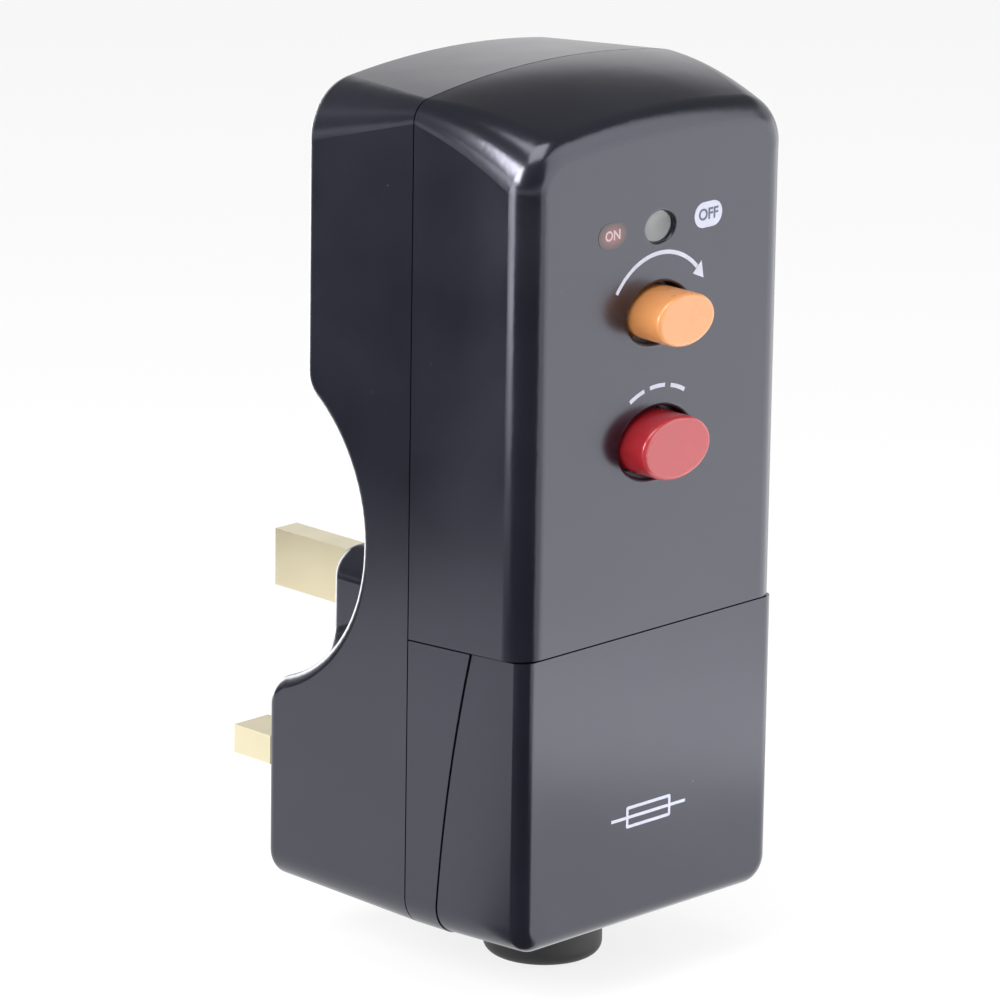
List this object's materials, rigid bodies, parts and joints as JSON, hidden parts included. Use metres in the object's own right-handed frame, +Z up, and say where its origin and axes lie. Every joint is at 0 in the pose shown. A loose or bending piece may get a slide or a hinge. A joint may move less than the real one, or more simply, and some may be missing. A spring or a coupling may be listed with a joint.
{
  "type": "residual current device plug",
  "caption": "Rewirable three-pin mains plug with a tall goose-neck body, residual current trip, oval reset and test buttons, flag window and cord inlet.",
  "frame": {"origin": "on the pin face, midway between the line pin and the neutral pin", "axes": "+Y along the pins towards the socket, +Z up towards the head, X across the plug"},
  "size_m": [0.049, 0.0752, 0.1215],
  "materials": {
    "case_black": "satin-gloss moulded black",
    "inlet_black": "matt moulded black",
    "pin_brass": "bright machined brass",
    "sleeve_black": "moulded insulating sleeve",
    "reset_orange": "satin moulded orange",
    "test_red": "satin moulded red",
    "lens_clear": "clear polished acrylic",
    "retainer_grey": "moulded grey nylon",
    "frame_white": "natural moulded nylon",
    "lever_grey": "moulded grey acetal",
    "flag_black": "moulded black",
    "flag_orange": "printed orange",
    "zinc_screw": "zinc plated",
    "strap_brass": "rolled brass strip",
    "terminal_brass": "machined brass",
    "fuse_ceramic": "glazed ceramic",
    "fuse_nickel": "nickel plated",
    "clip_bronze": "spring bronze strip",
    "board_green": "green solder resist",
    "core_nickel": "coated nickel-iron",
    "winding_copper": "enamelled copper wire",
    "yoke_steel": "zinc plated sheet steel",
    "spring_steel": "drawn spring wire",
    "pivot_steel": "ground steel",
    "contact_silver": "silver alloy on copper",
    "varistor_blue": "blue epoxy",
    "capacitor_box": "moulded yellow case",
    "capacitor_can": "sleeved aluminium can",
    "chip_black": "moulded epoxy",
    "resistor_tan": "lacquered film"
  },
  "bodies": {
    "case": {"board_screws": "zinc_screw", "case_screws": "zinc_screw", "circuit_board": "board_green", "cord_grip_bar": "inlet_black", "cord_grip_screws": "zinc_screw", "cord_inlet_bush": "inlet_black", "cover_screw": "zinc_screw", "diodes": "chip_black", "earth_pin": "pin_brass", "earth_strap": "strap_brass", "earth_terminal": "terminal_brass", "film_capacitor": "capacitor_box", "fixed_contacts": "contact_silver", "front_housing": "case_black", "fuse_body": "fuse_ceramic", "fuse_caps": "fuse_nickel", "fuse_clips": "clip_bronze", "latch_pin": "pivot_steel", "live_feed_strap": "strap_brass", "live_inlet_strap": "strap_brass", "live_pin": "pin_brass", "live_terminal": "terminal_brass", "load_bars": "strap_brass", "mechanism_frame": "frame_white", "neutral_feed_strap": "strap_brass", "neutral_pin": "pin_brass", "neutral_terminal": "terminal_brass", "opening_spring": "spring_steel", "pin_retainer": "retainer_grey", "pin_sleeves": "sleeve_black", "plunger_spring": "spring_steel", "primary_links": "strap_brass", "rear_housing": "case_black", "reservoir_capacitor": "capacitor_can", "reset_spring": "spring_steel", "resistors": "resistor_tan", "retainer_screws": "zinc_screw", "rocker_pin": "pivot_steel", "sensing_core": "core_nickel", "sensing_winding": "winding_copper", "solenoid_bobbin": "frame_white", "solenoid_coil": "winding_copper", "solenoid_yoke": "yoke_steel", "terminal_cover": "case_black", "terminal_screws": "zinc_screw", "terminal_tray": "case_black", "test_blade": "strap_brass", "test_contact_post": "strap_brass", "test_resistor": "resistor_tan", "trip_chip": "chip_black", "varistor": "varistor_blue", "window_lens": "lens_clear"},
    "reset": {"reset_button": "reset_orange"},
    "rocker": {"contact_rocker": "frame_white", "moving_contacts": "contact_silver"},
    "flag": {"indicator_flag": "flag_black", "flag_orange_patch": "flag_orange"},
    "test": {"test_button": "test_red"},
    "plunger": {"trip_plunger": "yoke_steel"},
    "latch": {"latch_lever": "lever_grey"}
  },
  "joints": [
    {"name": "reset_press", "type": "slide", "parent": "case", "child": "reset", "axis": [0, 1, 0], "range_m": [0, 0.003], "stiffness_N_per_m": 300, "springref_m": -0.004, "deforming": ["reset_spring"]},
    {"name": "rocker_turn", "type": "hinge", "parent": "case", "child": "rocker", "pos_m": [0, -0.0277, 0.081], "axis": [1, 0, 0], "range_deg": [0, 14.63], "deforming": ["opening_spring"]},
    {"name": "flag_slide", "type": "slide", "parent": "case", "child": "flag", "axis": [0, 0, 1], "range_m": [0, 0.00441]},
    {"name": "test_press", "type": "slide", "parent": "case", "child": "test", "axis": [0, 1, 0], "range_m": [0, 0.0018], "stiffness_N_per_m": 400, "springref_m": -0.002, "deforming": ["test_blade"]},
    {"name": "trip_pull", "type": "slide", "parent": "case", "child": "plunger", "axis": [0, 0, -1], "range_m": [0, 0.002], "stiffness_N_per_m": 150, "springref_m": -0.003, "deforming": ["plunger_spring"]},
    {"name": "latch_turn", "type": "hinge", "parent": "case", "child": "latch", "pos_m": [-0.008, -0.031, 0.0625], "axis": [0, -1, 0], "range_deg": [0, 17.21]}
  ],
  "couplings": [
    {"joint": "rocker_turn", "follows": "reset_press", "rad_per_m": 84.97},
    {"joint": "flag_slide", "follows": "reset_press", "ratio": 1.4667},
    {"joint": "latch_turn", "follows": "trip_pull", "rad_per_m": 150}
  ]
}
